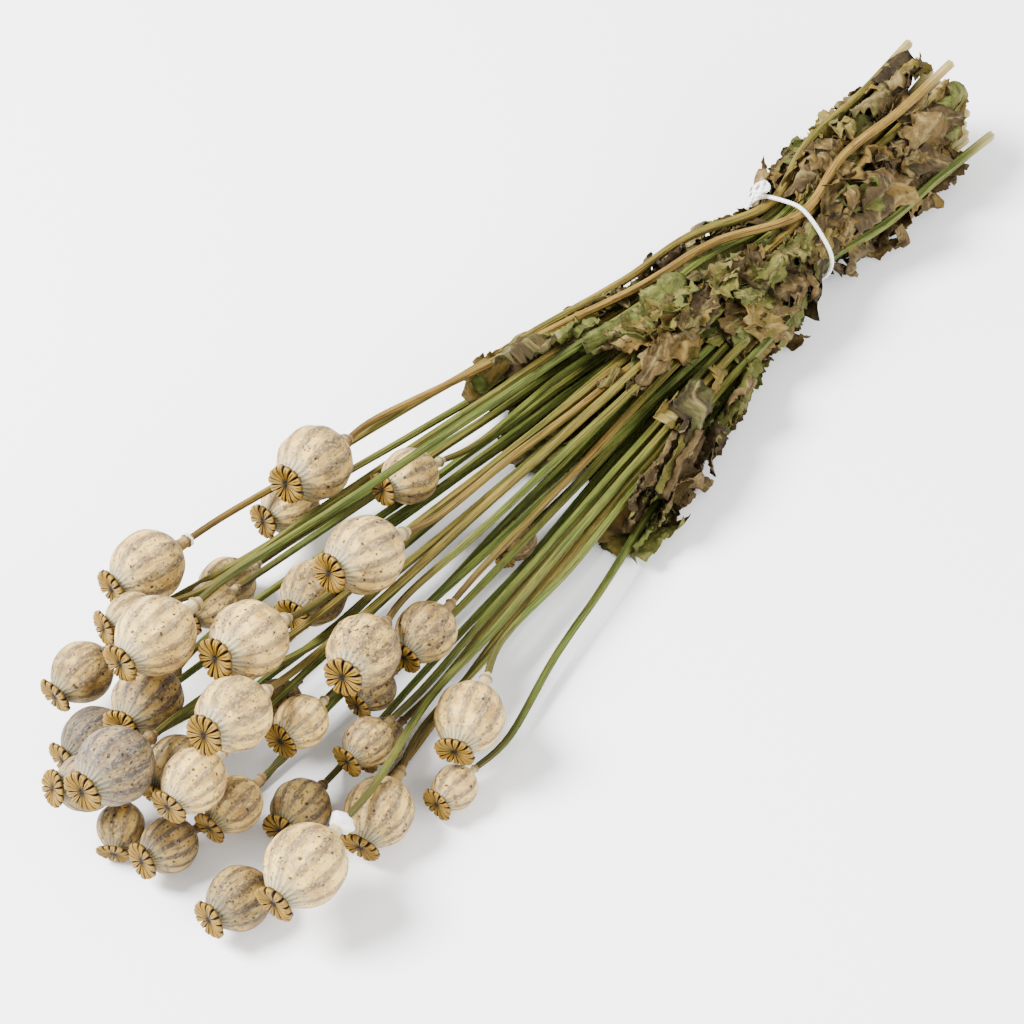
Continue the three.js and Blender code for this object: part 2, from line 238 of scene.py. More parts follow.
def capsule_finish(look):
    """Waxy, dried capsule skin: cream between greyer ribs, brown flecks, a bloom by the crown with
    painted shade between its pleats and just under the crown.
    """
    f = Finish("capsule_skin")
    rib, along, pleat = f.marks
    bright, lilac, spots = f.kind
    mottle = f.noise(95, 4)
    streak = f.noise(420, 3, (1, 1, 0.25))
    cloud = f.noise(48, 4, (1, 1, 0.7))
    grit = f.noise(900, 4, (1, 1, 0.4), 0.7)
    warped = f.warped(260, 0.0022)
    dots = f.cells(250, where=warped)
    small = f.cells(520, where=warped)
    dashes = f.cells(300, (1, 1, 0.4), where=warped)
    some = f.split(dots.also("Color"))[0]
    few = f.split(small.also("Color"))[1]
    dot = f.between(dots, 0.24, 0.12) * f.between(some + spots * 0.4, 0.72, 0.8)
    speck = f.between(small, 0.3, 0.16) * f.between(few + spots * 0.35, 0.62, 0.7)
    dash = f.between(dashes, 0.2, 0.08) * f.between(f.noise(90, 2) + spots * 0.2, 0.52, 0.64)
    fleck = dot.maths("MAXIMUM", speck * 0.8)
    stripe = rib + (cloud - 0.5) * 1.2 + (streak - 0.5) * 0.9
    smear = cloud + (streak - 0.5) * 0.6 + spots * 0.12
    colour = f.layers(
        look.cream_shade,
        (look.cream, mottle, 0.36, 0.6, 1.0),
        (look.cream_streak, streak, 0.4, 0.75, 0.5),
        (look.lilac, stripe, -0.25, 0.7, 0.52 + 0.45 * lilac),
        (look.slate, lilac, 0.72, 1.0, 0.65),
        (look.stain, smear, 0.5, 0.7, 0.25 + 0.45 * spots),
        (look.stain, streak + (grit - 0.5) * 0.8, 0.54, 0.7, 0.3 + 0.4 * spots),
        (look.cream_streak, grit, 0.5, 0.36, 0.35),
    )
    colour = f.mix(dash * 0.7, colour, look.stain)
    colour = f.mix(fleck * 0.9, colour, look.fleck)
    # Painted shade: the grooves between the pleats by the crown get the darker bloom colour.
    pleated = f.mix(0.5 + 0.5 * pleat, look.bloom_painted_shade, look.bloom)
    foot = f.layers(
        look.collar,
        (look.pale_collar, lilac + spots, 0.98, 0.72, 1.0),
        (look.sap, lilac + spots, 0.1, 0.0, 1.0),
    )
    colour = f.layers(
        colour,
        (pleated, along + (streak - 0.5) * 0.3, 0.72, 1.06, 0.85),
        # Painted shade: a band of the darker bloom colour just under the crown.
        (look.bloom_painted_shade, along, 1.04, 1.16, 0.5),
        (foot, along, -0.82, -1.04, 1.0),
        (look.stain, along, -1.44, -1.4, f.between(along, -1.31, -1.36) * 0.7),
    )
    # The head's brightness multiplies its skin; for heads 35 and 36 this darkening is painted shade.
    dim = f.mix(bright, look.dimmest, (1.0, 1.0, 1.0))
    colour = f.mix(1.0, colour, dim, "MULTIPLY")
    height = streak * 0.5 + mottle * 0.3 + grit * 0.4 - fleck * 0.8 - dash * 0.35
    return f.done(colour, 0.55 + 0.25 * mottle, height, 0.0005, 0.9, {"Specular IOR Level": 0.3})


def crown_finish(look):
    """The crown's rays are gold; the gaps between them and its middle are nearly black."""
    f = Finish("crown_rays")
    ridge, rim, _ = f.marks
    grain = f.noise(900, 3)
    patch = f.noise(240, 2)
    colour = f.layers(
        look.crown_dark,
        (look.crown, ridge + (grain - 0.5) * 0.3, 0.3, 0.85, 1.0),
        (look.crown_rim, ridge + (patch - 0.5) * 0.6, 0.85, 1.05, 0.7),
        (look.crown_dark, rim, 0.55, 0.05, 0.85),
        (look.crown_dark, patch, 0.5, 0.7, 0.3),
    )
    return f.done(colour, 0.6, grain, 0.0003, 0.5, {"Specular IOR Level": 0.3})


def stem_finish(look):
    """Ridged stem: green or ochre, browner below the head and like straw at the cut, with painted
    highlight on its fibre ridges and painted shade in the grooves between them.
    """
    f = Finish("stem_skin")
    green, shade, _ = f.kind
    length, to_head, cap = f.marks
    fibre = f.noise(620, 2, (1, 1, 0.05))
    slow = f.noise(9, 3, (0.2, 0.2, 1))
    fine = f.noise(300, 4, (1, 1, 0.4))
    hue = f.between(green + (slow - 0.5) * 1.3, 0.05, 0.65)
    colour = f.layers(
        f.mix(hue, look.stem_ochre, look.stem_green),
        # Painted highlight on the fibre ridges and painted shade in the grooves, where the bump also
        # raises and sinks the skin, over the stem's own fibre streaks.
        (f.mix(hue, look.stem_tan_ridges_and_highlight, look.stem_green_ridges_and_highlight), fibre, 0.46, 0.64, 0.7),
        (look.stem_grooves_and_shade, fibre, 0.47, 0.34, 0.85),
        (look.stem_brown, to_head, 0.05, 0.004, 0.55),
        (look.stem_brown, fine, 0.54, 0.66, 0.6),
        (look.straw, length, 0.03, 0.0, 0.6),
        (look.straw, cap, 0.5, 0.9, 1.0),
    )
    dim = f.mix(shade, (0.5, 0.5, 0.5), (1.0, 1.0, 1.0))
    colour = f.mix(1.0, colour, dim, "MULTIPLY")
    height = fibre + fine * 0.4
    return f.done(colour, 0.62 + 0.2 * fine, height, 0.0005, 0.8, {"Specular IOR Level": 0.3})


def leaf_finish(look):
    """Brittle leaf: brown going to olive, with paler veins, dark dry patches and painted shade on the
    lobes that lie under a leaf or among the stems.
    """
    f = Finish("dry_leaf")
    vein, edge, _ = f.marks
    green, light, warm = f.kind
    blotch = f.noise(70, 5)
    fine = f.noise(420, 4)
    stripe = f.noise(260, 3, (0.25, 1, 1))
    # Painted shade and the lobe's own tone: its brightness, halved on lobes under a leaf or among the
    # stems, darkens it toward the darkest leaf colour.
    colour = f.mix(light, look.leaf_dark_and_shade, look.leaf_brown)
    colour = f.mix(f.between(green + (blotch - 0.5) * 0.9, 0.35, 0.75), colour, look.leaf_green)
    colour = f.mix(warm * 0.6, colour, look.leaf_ochre)
    colour = f.mix(f.between(blotch, 0.5, 0.72) * 0.55, colour, look.leaf_dark_and_shade)
    colour = f.mix(vein * 0.55, colour, look.leaf_pale)
    colour = f.layers(
        colour,
        (look.leaf_pale, stripe + (fine - 0.5) * 0.4, 0.52, 0.7, 0.6 * light),
        (look.leaf_dark_and_shade, stripe, 0.46, 0.34, 0.5),
        (look.leaf_dark_and_shade, edge, 0.1, 0.0, 0.35),
    )
    height = vein * 0.9 + fine * 0.5 + stripe * 1.2
    return f.done(colour, 0.72 + 0.15 * fine, height, 0.0007, 0.9, {"Specular IOR Level": 0.25})


def twine_finish(look):
    """White string with faint shade between its fibres."""
    f = Finish("white_twine")
    fibre = f.noise(1500, 3, (1, 1, 0.3), where=f.add("ShaderNodeTexCoord", out="Object"))
    colour = f.mix(f.between(fibre, 0.35, 0.65), look.twine_shade, look.twine)
    return f.done(colour, 0.8, fibre, 0.0003, 0.6, {"Sheen Weight": 0.2})


def floor_finish(look):
    """Plain pale floor."""
    material = bpy.data.materials.new("pale_floor")
    material.use_nodes = True
    g = Graph(material.node_tree)
    shader = g.tree.nodes["Principled BSDF"]
    place = g.add("ShaderNodeTexCoord", out="Object")
    grain = g.add("ShaderNodeTexNoise", None, {"Vector": place, "Scale": 3.0, "Detail": 2.0})
    colour = g.mix(grain, look.floor, tuple(0.99 * c for c in look.floor))
    g.tree.links.new(colour.socket, shader.inputs["Base Color"])
    shader.inputs["Roughness"].default_value = 0.9
    shader.inputs["Specular IOR Level"].default_value = 0.1
    return material


# ---------------- gathering meshes


def grid_faces(rows, columns, wrap, start=0):
    """Quads over a grid of points: outward when columns run anticlockwise and rows run upwards."""
    across = columns if wrap else columns - 1
    i, j = np.meshgrid(np.arange(rows - 1), np.arange(across), indexing="ij")
    k = (j + 1) % columns
    low, high = i * columns, (i + 1) * columns
    return np.stack([low + j, low + k, high + k, high + j], -1).reshape(-1, 4) + start


class Piece:
    """Gathers the points, faces, painted values and finishes of one piece."""

    def __init__(self):
        self.points, self.faces, self.slots = [], [], []
        self.painted = {"skin": [], "marks": [], "kind": []}
        self.count = 0

    def add(self, points, faces, slot, skin, marks, kind):
        self.points.append(points)
        for values, kept in zip((skin, marks, kind), self.painted.values()):
            kept.append(np.broadcast_to(values, points.shape))
        self.faces += [[int(v) + self.count for v in face] for face in faces]
        self.slots += [slot] * len(faces)
        self.count += len(points)

    def add_turned(self, points, slot, skin, marks, kind):
        """A closed shell from rows of rings; its first and last ring close on a middle point."""

        def capped(values):
            return np.concatenate([values.reshape(-1, 3), [values[0].mean(0), values[-1].mean(0)]])

        rows, columns = points.shape[:2]
        faces = grid_faces(rows, columns, True).tolist()
        first, last = rows * columns, rows * columns + 1
        top = (rows - 1) * columns
        for j in range(columns):
            k = (j + 1) % columns
            faces.append([first, k, j])
            faces.append([last, top + j, top + k])
        self.add(capped(points), faces, slot, capped(skin), capped(marks), kind)

    def build(self, node, finishes):
        """Makes the mesh that stands for a node."""
        name = f"{node}_shown"
        mesh = bpy.data.meshes.new(name)
        mesh.from_pydata(np.concatenate(self.points).tolist(), [], self.faces)
        for key, values in self.painted.items():
            painted = mesh.attributes.new(key, "FLOAT_VECTOR", "POINT")
            painted.data.foreach_set("vector", np.concatenate(values).astype(np.float32).ravel())
        for finish in finishes:
            mesh.materials.append(finish)
        mesh.polygons.foreach_set("material_index", self.slots)
        mesh.polygons.foreach_set("use_smooth", [True] * len(mesh.polygons))
        mesh.update()
        settle(name, mesh, node)


def placed(name, data):
    """A new object in the scene."""
    made = bpy.data.objects.new(name, data)
    bpy.context.scene.collection.objects.link(made)
    return made


def settle(name, mesh, node):
    """Places a finished mesh on its body and hides the solid of the node it stands for."""
    piece = placed(name, mesh)
    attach(piece, BODY)
    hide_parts(node)


SAME_POINT = 2e-6  # points closer than this are one
CAP_TOUCHES = 9  # the middle of an eight-sided cap shares triangles with its eight corners and itself


def merged(node):
    """The points and faces of a solid, with its loose triangles joined."""
    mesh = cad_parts[node].data
    points = np.array([v.co[:] for v in mesh.vertices])
    cells = np.round(points / SAME_POINT).astype(np.int64)
    keys, index = np.unique(cells, axis=0, return_inverse=True)
    index = index.ravel()
    joined = np.zeros((len(keys), 3))
    joined[index] = points
    return joined, [[int(index[v]) for v in p.vertices] for p in mesh.polygons]


def rings(node):
    """The centres and radii of a stalk's rings, from its cut end to its crown."""
    points, faces = merged(node)
    near = {}
    for face in faces:
        for v in face:
            near.setdefault(v, set()).update(face)
    ends = [v for v, around in near.items() if len(around) == CAP_TOUCHES]
    start = max(ends, key=lambda v: points[v][0])
    level, seen, found = {start}, {start}, []
    while level:
        level = set().union(*(near[v] for v in level)) - seen
        seen |= level
        if len(level) > 1:
            ring = points[sorted(level)]
            centre = ring.mean(0)
            found.append((centre, np.linalg.norm(ring - centre, axis=1).max()))
    centres, radii = zip(*found)
    return np.array(centres), np.array(radii)


# ---------------- geometry node trees


def node_tree(name, inputs):
    """An empty Geometry Nodes tree with named inputs, as (graph, {name: Value})."""
    tree = bpy.data.node_groups.new(name, "GeometryNodeTree")
    tree.interface.new_socket("Geometry", in_out="INPUT", socket_type="NodeSocketGeometry")
    tree.interface.new_socket("Geometry", in_out="OUTPUT", socket_type="NodeSocketGeometry")
    for label, (kind, default) in inputs.items():
        socket = tree.interface.new_socket(label, in_out="INPUT", socket_type="NodeSocket" + kind)
        if default is not None:
            socket.default_value = default
    graph = Graph(tree)
    source = tree.nodes.new("NodeGroupInput")
    return graph, {socket.name: Value(graph, socket) for socket in source.outputs if socket.name}


def finish_tree(graph, geometry, material):
    """Ends a tree: real geometry, with its material, to the tree's output."""
    geometry = graph.add("GeometryNodeRealizeInstances", None, {"Geometry": geometry})
    geometry = graph.add("GeometryNodeSetMaterial", None, {"Geometry": geometry, "Material": material})
    sink = graph.tree.nodes.new("NodeGroupOutput")
    graph.tree.links.new(geometry.socket, sink.inputs[0])
    return graph.tree


def run_tree(tree, curve, inputs):
    """Runs a tree on a curve object and returns a plain mesh; the curve object is removed."""
    modifier = curve.modifiers.new("shape", "NODES")
    modifier.node_group = tree
    for item in tree.interface.items_tree:
        if item.in_out == "INPUT" and item.name in inputs:
            modifier[item.identifier] = inputs[item.name]
    bpy.context.view_layer.update()
    evaluated = curve.evaluated_get(bpy.context.evaluated_depsgraph_get())
    mesh = bpy.data.meshes.new_from_object(evaluated)
    curve.modifiers.remove(modifier)
    data = curve.data
    bpy.data.objects.remove(curve)
    bpy.data.curves.remove(data)
    return mesh


def path_curve(name, points, radii, cyclic=False):
    """A curve through points that carries the radius at each."""
    data = bpy.data.curves.new(name, "CURVE")
    data.dimensions = "3D"
    spline = data.splines.new("POLY")
    spline.points.add(len(points) - 1)
    for place, point, radius in zip(spline.points, points, radii):
        place.co = (*point, 1.0)
        place.radius = radius
    spline.use_cyclic_u = cyclic
    return placed(name, data)


STRANDS = 3  # strands laid round each other in the twine
STRAND_SIDES = 7


def smooth_path(g, given):
    """A tree's incoming path, smoothed and cut into even steps."""
    settings = {"spline_type": "CATMULL_ROM"}
    spline = g.add("GeometryNodeCurveSplineType", settings, {"Curve": given["Geometry"]})
    values = {"Curve": spline, "Length": given["Step"]}
    return g.add("GeometryNodeResampleCurve", {"mode": "LENGTH"}, values)


def stem_tree():
    """A ridged tube along a path, its radius taken from the path."""
    g, given = node_tree(
        "stem_along_a_path",
        {
            "Sides": ("Int", 20),
            "Ridges": ("Int", 7),
            "Ridge Depth": ("Float", 0.07),
            "Step": ("Float", 0.006),
            "Wander": ("Float", 0.0006),
            "Material": ("Material", None),
        },
    )
    path = smooth_path(g, given)
    factor = g.add("GeometryNodeSplineParameter")
    where = g.add("GeometryNodeInputPosition")
    drift = g.add("ShaderNodeTexNoise", None, {"Vector": where, "Scale": 22.0, "Detail": 1.0}, out=1)
    drift = g.vector("SUBTRACT", drift, (0.5, 0.5, 0.5))
    drift = g.scaled(drift, factor * (1 - factor) * 8.0 * given["Wander"])
    path = g.add("GeometryNodeSetPosition", None, {"Geometry": path, "Offset": drift})
    travelled = g.add("GeometryNodeSplineParameter", out="Length")
    path = g.add(
        "GeometryNodeStoreNamedAttribute",
        {"data_type": "FLOAT", "domain": "POINT"},
        {"Geometry": path, "Name": "along", "Value": travelled},
    )
    sizes = {"Resolution": given["Sides"], "Radius": 1.0}
    ring = g.add("GeometryNodeCurvePrimitiveCircle", None, sizes)
    ring = g.add(
        "GeometryNodeStoreNamedAttribute",
        {"data_type": "FLOAT_VECTOR", "domain": "POINT"},
        {"Geometry": ring, "Name": "around", "Value": where},
    )
    turn = g.add("GeometryNodeSplineParameter") * TAU * given["Ridges"]
    swell = turn.maths("COSINE") * given["Ridge Depth"] + (1 - given["Ridge Depth"])
    ring = g.add("GeometryNodeSetPosition", None, {"Geometry": ring, "Position": g.scaled(where, swell)})
    width = g.add("GeometryNodeInputRadius")
    parts = {"Curve": path, "Profile Curve": ring, "Scale": width, "Fill Caps": True}
    return finish_tree(g, g.add("GeometryNodeCurveToMesh", None, parts), given["Material"])


def twine_tree():
    """Strands laid round each other along a path."""
    g, given = node_tree(
        "laid_twine",
        {
            "Strand Radius": ("Float", 0.0007),
            "Lay Radius": ("Float", 0.0006),
            "Turns": ("Float", 24.0),
            "Step": ("Float", 0.0007),
            "Material": ("Material", None),
        },
    )
    path = smooth_path(g, given)
    tangent = g.add("GeometryNodeInputTangent")
    normal = g.add("GeometryNodeInputNormal")
    across = g.vector("CROSS_PRODUCT", tangent, normal)
    turn = g.add("GeometryNodeSplineParameter") * TAU * given["Turns"]
    sizes = {"Resolution": STRAND_SIDES, "Radius": given["Strand Radius"]}
    ring = g.add("GeometryNodeCurvePrimitiveCircle", None, sizes)
    joined = g.tree.nodes.new("GeometryNodeJoinGeometry")
    for strand in range(STRANDS):
        angle = turn + strand * TAU / STRANDS
        up = g.scaled(normal, angle.maths("COSINE") * given["Lay Radius"])
        side = g.scaled(across, angle.maths("SINE") * given["Lay Radius"])
        offset = g.vector("ADD", up, side)
        moved = g.add("GeometryNodeSetPosition", None, {"Geometry": path, "Offset": offset})
        parts = {"Curve": moved, "Profile Curve": ring, "Fill Caps": True}
        tube = g.add("GeometryNodeCurveToMesh", None, parts)
        g.tree.links.new(tube.socket, joined.inputs[0])
    return finish_tree(g, Value(g, joined.outputs[0]), given["Material"])


# ---------------- one stalk

# Rows of the solid head that fix its place, counted back from its crown.
NECK_RING, LOW_RING, HIGH_RING, CROWN_RING = -9, -6, -5, -1
LOW_AT, HIGH_AT = -0.32, 0.3  # where the two widest rings lie, in capsule radii
SOLID_SWELL = 1.04  # how much wider than the capsule those two rings are

SAPPY_STALKS = {24: 1.0, 6: 0.62}  # the stalks with a white bead at their neck, and its size
NECK_WIDTH, THINNEST_NECK = 0.118, 0.0017  # a stem's radius at the head, in capsule radii and in metres
RIBS = (10, 14)  # a capsule has from 10 to 13 ribs
RAYS = (12, 16)  # a crown has from 12 to 15 rays
HEAD_ROWS = 58  # rows of points from a collar to a capsule's top
RIB_COLUMNS = 6  # columns of points over one rib
RAY_COLUMNS = 12  # and over one ray

# A head from the stem's end to under the crown, as (distance along, width), in capsule radii.
OUTLINE = np.array(
    [
        (-1.62, 0.03), (-1.58, 0.11), (-1.47, 0.135), (-1.42, 0.2), (-1.39, 0.215), (-1.36, 0.2),
        (-1.34, 0.175), (-1.24, 0.17), (-1.12, 0.18), (-1.05, 0.22), (-0.99, 0.33), (-0.9, 0.5),
        (-0.78, 0.66), (-0.62, 0.8), (-0.4, 0.93), (-0.15, 0.995), (0.1, 1.0), (0.35, 0.955),
        (0.6, 0.84), (0.8, 0.68), (0.96, 0.51), (1.08, 0.38), (1.16, 0.32), (1.23, 0.32), (1.25, 0.2),
        (1.25, 0.05),
    ]
)


class Head:
    """Where a capsule's middle lies, its radius, and its axes: the third one points to its crown."""

    def __init__(self, centres, radii):
        axis = unit(centres[CROWN_RING] - centres[NECK_RING])
        nearer = -LOW_AT / (HIGH_AT - LOW_AT)
        self.centre = centres[LOW_RING] * (1 - nearer) + centres[HIGH_RING] * nearer
        self.size = radii[LOW_RING] / SOLID_SWELL
        self.crown = radii[CROWN_RING]
        side = unit(np.cross([0, 0, 1.0], axis))
        self.axes = np.array([side, np.cross(axis, side), axis])

    def place(self, local):
        return self.centre + local @ self.axes


def outline_at(count):
    """The head's outline, resampled evenly on a smooth curve through its points."""
    p = OUTLINE
    steps = np.concatenate([[0], np.cumsum(np.linalg.norm(np.diff(p, axis=0), axis=1))])
    slope = np.gradient(p, steps, axis=0)
    t = np.linspace(0, steps[-1], count)
    k = np.clip(np.searchsorted(steps, t, "right") - 1, 0, len(p) - 2)
    h = (steps[k + 1] - steps[k])[:, None]
    u = ((t - steps[k])[:, None]) / h
    return (
        (2 * u**3 - 3 * u**2 + 1) * p[k]
        + (u**3 - 2 * u**2 + u) * h * slope[k]
        + (3 * u**2 - 2 * u**3) * p[k + 1]
        + (u**3 - u**2) * h * slope[k + 1]
    )


def add_capsule(piece, look, rng, head, ribs, kind):
    """A collar and the ribbed capsule on it, pleated at the top."""
    rows = outline_at(HEAD_ROWS)
    s, r = rows[:, :1], rows[:, 1:]
    angle = np.linspace(0, TAU, ribs * RIB_COLUMNS, endpoint=False)[None, :]
    body = smooth(-0.98, -0.55, s) * smooth(1.1, 0.7, s)
    top = smooth(0.68, 0.92, s) * smooth(1.24, 1.1, s)
    rib = np.cos(ribs * angle + 0.25 * np.sin(3 * s + rng.uniform(0, 6)))
    pleat = np.cos(2 * ribs * angle)
    lump = 0
    for waves in (1, 2, 3):
        tall = rng.uniform(-1, 1)
        lump = lump + tall * np.cos(waves * angle + rng.uniform(0, TAU) + s * rng.uniform(-1, 1))
    width = r * (1 + look.rib_depth * body * (0.5 + 0.5 * rib) ** 1.6 - 0.5 * look.rib_depth * body)
    width = width * (1 + 0.022 * top * pleat) * (1 + 0.012 * body * lump)
    collar = smooth(-1.36, -1.3, s) * smooth(-1.02, -1.1, s)
    width = width * (1 + 0.03 * collar * np.cos(ribs * angle))
    whole = np.ones_like(width)
    local = np.stack([width * np.cos(angle), width * np.sin(angle), s * whole], -1) * head.size
    marks = np.stack([rib * body, s * whole, pleat * whole], -1)
    piece.add_turned(head.place(local), 0, local + rng.uniform(-1, 1, 3), marks, kind)


def add_lump(piece, rng, head, bulk):
    """A pale knobbly bead of dried sap at a neck."""
    rise = np.linspace(-1.45, 1.45, 12)[:, None]
    angle = np.linspace(0, TAU, 20, endpoint=False)[None, :]
    knobs = 1 + 0.16 * np.cos(3 * angle + 2 * rise) * np.cos(rise)
    knobs = knobs + 0.12 * np.cos(5 * angle - 4 * rise)
    wide = 0.3 * bulk * head.size * np.cos(rise) * knobs
    along = 0.24 * bulk * head.size * np.sin(rise) * (1 + 0.1 * np.cos(4 * angle))
    local = np.stack([wide * np.cos(angle), wide * np.sin(angle), along], -1)
    marks = np.broadcast_to([0.0, -1.2, 0.0], local.shape)
    points = head.centre - 1.44 * head.size * head.axes[2] + local @ head.axes
    piece.add_turned(points, 0, local + rng.uniform(-1, 1, 3), marks, (1.0, 0.0, 0.0))


def add_crown(piece, rng, head, rays, kind):
    """A flat disc scalloped at its rim, with raised rays, each dipped along its middle."""
    angle = np.linspace(0, TAU, rays * RAY_COLUMNS, endpoint=False)
    turn = (angle * rays / TAU) % 1.0
    t = np.abs(2 * turn - 1)  # 0 in the middle of a ray, 1 in the gap beside it
    wobble = 1 + 0.03 * np.cos(angle * 2 + rng.uniform(0, 6))
    wobble = wobble + 0.02 * np.cos(angle * 3 + rng.uniform(0, 6))
    lobes = rng.uniform(0.94, 1.03, rays)[(angle * rays / TAU).astype(int) % rays]
    edge = head.crown * wobble * lobes * (0.85 + 0.15 * (1 - t**6))
    under = [(0.30, 1.16), (0.5, 1.2), (0.75, 1.23), (0.93, 1.235), (1.0, 1.25)]
    over = [(0.995, 1.28), (0.96, 1.3), (0.9, 1.31)]
    over += [(rho, 1.32) for rho in np.linspace(0.82, 0.05, 13)]
    wave = rng.uniform(0, 6, 2)
    points, marks = [], []
    for index, (rho, z) in enumerate(under + over):
        on_top = index >= len(under)
        pair = 0.6 + 0.4 * smooth(0.0, 0.3, t)
        pair = pair * smooth(0.86, 0.56, t) * smooth(0.05, 0.2, rho)
        tip = smooth(0.86, 0.98, rho) * smooth(0.88, 0.56, t)
        ridge = np.maximum(pair, tip)
        gap = smooth(0.78, 1.0, t) * smooth(0.2, 0.6, rho)
        lift = 0.075 * ridge * min(1.0, 0.3 + rho) - 0.06 * gap if on_top else 0 * t
        bowl = 0.05 * rho**2 - 0.03 * max(rho - 0.8, 0) / 0.2
        sway = 0.015 * rho * (np.cos(2 * angle + wave[0]) + np.cos(3 * angle + wave[1]))
        height = (z - 0.05 + bowl + lift) * head.size + sway * head.crown
        reach = edge * rho
        points.append(np.stack([reach * np.cos(angle), reach * np.sin(angle), height], -1))
        shown = ridge if on_top else 0.45 + 0 * t
        marks.append(np.stack([shown, np.full_like(t, rho), np.zeros_like(t)], -1))
    points, marks = np.array(points), np.array(marks)
    piece.add_turned(head.place(points), 1, points + rng.uniform(-1, 1, 3), marks, kind)


def add_stem(piece, look, tree, finish, number, centres, radii, kind):
    """A ridged stem through the solid's rings, with the places its finish needs."""
    inputs = {"Ridge Depth": look.ridge_depth, "Step": look.stem_step, "Material": finish}
    path = path_curve(f"path_{number:02d}", centres, radii)
    tube = run_tree(tree, path, {**inputs, "Ridges": 5 + number % 4})
    count = len(tube.vertices)
    points, around = np.zeros((2, count * 3), np.float32)
    along = np.zeros(count, np.float32)
    tube.vertices.foreach_get("co", points)
    tube.attributes["along"].data.foreach_get("value", along)
    tube.attributes["around"].data.foreach_get("vector", around)
    around = around.reshape(-1, 3)
    skin = np.stack([around[:, 0] * 0.01, around[:, 1] * 0.01, along + number], -1)
    cap = (along < 1e-6).astype(float)
    marks = np.stack([along, along.max() - along, cap], -1)
    faces = [list(p.vertices) for p in tube.polygons]
    piece.add(points.reshape(-1, 3), faces, 2, skin, marks, kind)
    bpy.data.meshes.remove(tube)


def build_stalk(look, tree, finishes, number):
    """A stem and its head, placed on the rings of their solid."""
    node = f"poppy_{number:02d}"
    centres, radii = rings(node)
    rng = np.random.default_rng(number)
    head = Head(centres, radii)
    kind = DRIED[HEADS[number - 1]]
    piece = Piece()
    add_capsule(piece, look, rng, head, int(rng.integers(*RIBS)), kind)
    if number in SAPPY_STALKS:
        add_lump(piece, rng, head, SAPPY_STALKS[number])
    add_crown(piece, rng, head, int(rng.integers(*RAYS)), kind)
    stem, widths = centres[: NECK_RING + 1], radii[: NECK_RING + 1].copy()
    widths[-1] = max(NECK_WIDTH * head.size, THINNEST_NECK)
    widths[-2] = min(widths[-2], widths[-1] * 1.02)
    shade = 0.75 + 0.25 * rng.random()
    add_stem(piece, look, tree, finishes[2], number, stem, widths, (GREEN[number - 1], shade, 0.0))
    piece.build(node, finishes)


# ---------------- leaves


LEAF_THICK = 0.00035
LOBE_ROWS, LOBE_COLUMNS = 25, 13
LOBE_LENGTH = (0.02, 0.05)
LOBES_APART, LOBES_ALONG = 0.014, 0.017  # from one lobe to the next, round the bunch and along it
STRAY_OUT, STRAY_BACK = 0.02, 0.022  # how far a loose lobe lies beside its leaf and towards the heads
SUNK = (0.003, 0.013)  # how deep a loose lobe lies among the stems
BARE_DEPTH = 0.0008  # depth of the wrap where no leaf lies
LEAF_GAP, FLOOR_GAP = 0.0004, 0.0006  # how far a lobe stays off the stems and off the floor
GRIPPED, FREE = 0.003, 0.016  # up to the first distance the twine holds a lobe flat, past the second not
OUTSIDE = 0.2  # a distance from the middle line that is outside the whole bunch

# Where a lobe's middle lies along and round the bunch, how it is turned there, its size, how far out in
# its leaf it lies, from 0 to 1, how far its tip curls up and how far it is sunk.
Lobe = namedtuple("Lobe", "x angle turn length width base lift sink")


def walls(tree, origin, angle):
    """The hits on a solid round the middle line: the first one outwards, and the first from outside."""
    out = Vector((0, math.cos(angle), math.sin(angle)))
    return tree.ray_cast(origin, out, OUTSIDE), tree.ray_cast(origin + out * OUTSIDE, -out, OUTSIDE)


